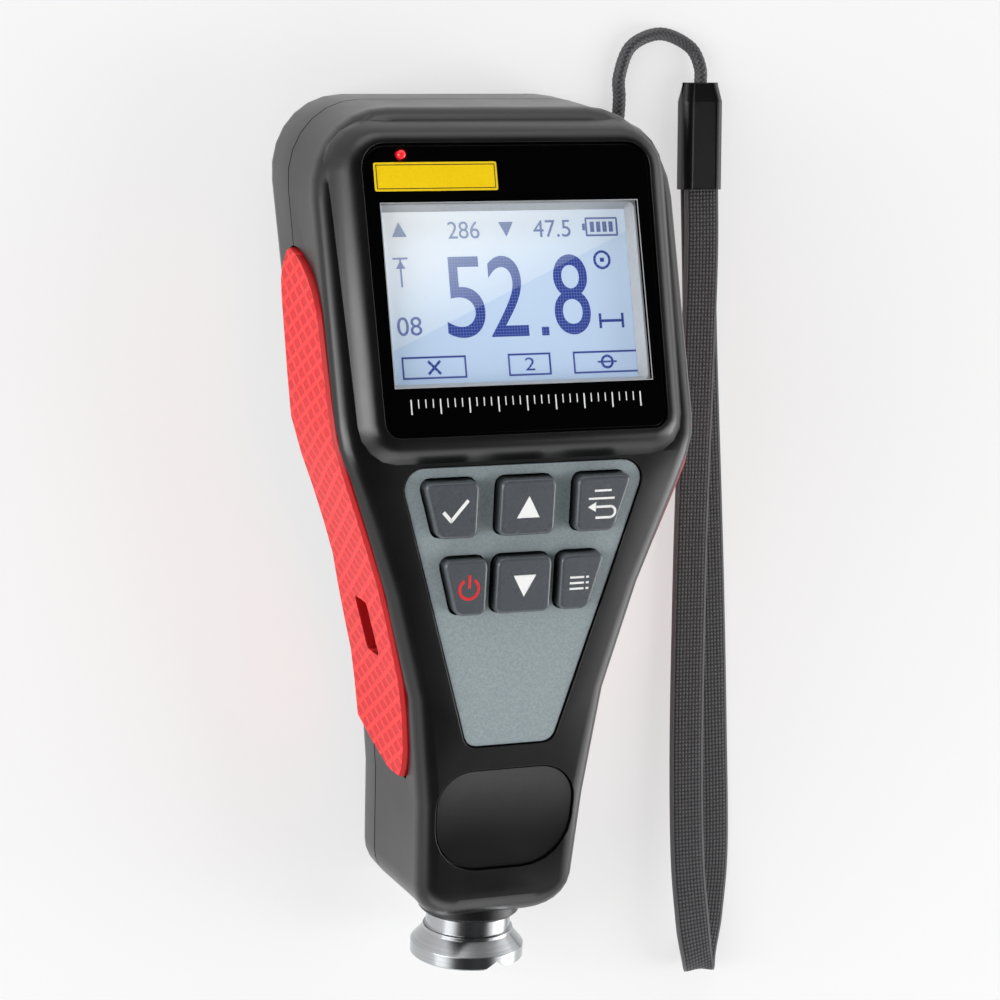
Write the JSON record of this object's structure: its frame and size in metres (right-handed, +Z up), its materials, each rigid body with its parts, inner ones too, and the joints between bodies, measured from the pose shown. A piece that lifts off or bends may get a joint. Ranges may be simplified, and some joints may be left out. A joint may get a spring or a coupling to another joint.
{
  "type": "coating thickness gauge",
  "caption": "Hand-held coating thickness gauge lying on its back, with display, keypad, red side grips, steel probe and a wrist lanyard.",
  "frame": {"origin": "on the table, centred under the gauge without its lanyard", "axes": "+Y from the probe towards the display, +Z up from the table, +X to the right as the display is read"},
  "size_m": [0.0891, 0.1666, 0.0405],
  "materials": {
    "shell_black": "soft-touch black moulding",
    "grip_red": "red rubber with a diamond pattern",
    "pad_black": "satin black inlay",
    "window_black": "black printed acrylic",
    "frame_grey": "grey bezel",
    "display_blue": "liquid crystal display",
    "lamp_red": "red lens",
    "panel_grey": "fine textured grey panel",
    "key_grey": "dark grey silicone",
    "mat_grey": "silicone mat",
    "board_green": "circuit board",
    "inner_black": "black moulding",
    "contact_metal": "plated contact",
    "screw_steel": "steel",
    "probe_steel": "polished steel",
    "cell_blue": "wrapped cell",
    "cord_black": "braided cord",
    "strap_black": "woven strap",
    "connector_black": "moulded connector"
  },
  "bodies": {
    "housing": {"front_shell": "shell_black", "rear_shell": "shell_black", "left_grip": "grip_red", "right_grip": "grip_red", "display_window": "window_black", "display_frame": "frame_grey", "lcd_panel": "display_blue", "status_led": "lamp_red", "display_board": "board_green", "buzzer": "inner_black", "keypad_panel": "panel_grey", "thumb_pad": "pad_black", "key_mat": "mat_grey", "main_board": "board_green", "usb_socket": "screw_steel", "ribbon_cable": "mat_grey", "battery_cell_a": "cell_blue", "battery_cell_b": "cell_blue", "contact_bridge": "contact_metal", "contact_plus": "contact_metal", "contact_minus": "contact_metal", "battery_tray": "inner_black", "battery_door": "shell_black", "door_screw": "screw_steel", "case_screw_a": "screw_steel", "case_screw_b": "screw_steel", "case_screw_c": "screw_steel", "case_screw_d": "screw_steel", "probe_neck": "inner_black", "probe_core": "contact_metal", "probe_spring": "screw_steel", "probe_guide": "inner_black", "lanyard_bar": "screw_steel", "lanyard_cord": "cord_black", "lanyard_connector": "connector_black", "lanyard_strap": "strap_black"},
    "ok_key": {"key_ok": "key_grey"},
    "up_key": {"key_up": "key_grey"},
    "back_key": {"key_back": "key_grey"},
    "power_key": {"key_power": "key_grey"},
    "down_key": {"key_down": "key_grey"},
    "menu_key": {"key_menu": "key_grey"},
    "collar": {"probe_collar": "probe_steel"}
  },
  "joints": [
    {"name": "ok_press", "type": "slide", "parent": "housing", "child": "ok_key", "axis": [0, 0.119, -0.9929], "range_m": [0, 0.0008], "stiffness_N_per_m": 1500, "springref_m": -0.0005},
    {"name": "up_press", "type": "slide", "parent": "housing", "child": "up_key", "axis": [0, 0.119, -0.9929], "range_m": [0, 0.0008], "stiffness_N_per_m": 1500, "springref_m": -0.0005},
    {"name": "back_press", "type": "slide", "parent": "housing", "child": "back_key", "axis": [0, 0.119, -0.9929], "range_m": [0, 0.0008], "stiffness_N_per_m": 1500, "springref_m": -0.0005},
    {"name": "power_press", "type": "slide", "parent": "housing", "child": "power_key", "axis": [0, 0.119, -0.9929], "range_m": [0, 0.0008], "stiffness_N_per_m": 1500, "springref_m": -0.0005},
    {"name": "down_press", "type": "slide", "parent": "housing", "child": "down_key", "axis": [0, 0.119, -0.9929], "range_m": [0, 0.0008], "stiffness_N_per_m": 1500, "springref_m": -0.0005},
    {"name": "menu_press", "type": "slide", "parent": "housing", "child": "menu_key", "axis": [0, 0.119, -0.9929], "range_m": [0, 0.0008], "stiffness_N_per_m": 1500, "springref_m": -0.0005},
    {"name": "probe_press", "type": "slide", "parent": "housing", "child": "collar", "axis": [0, 0.9941, 0.1086], "range_m": [0, 0.0022], "stiffness_N_per_m": 900, "springref_m": -0.002, "deforming": ["probe_spring"]}
  ]
}
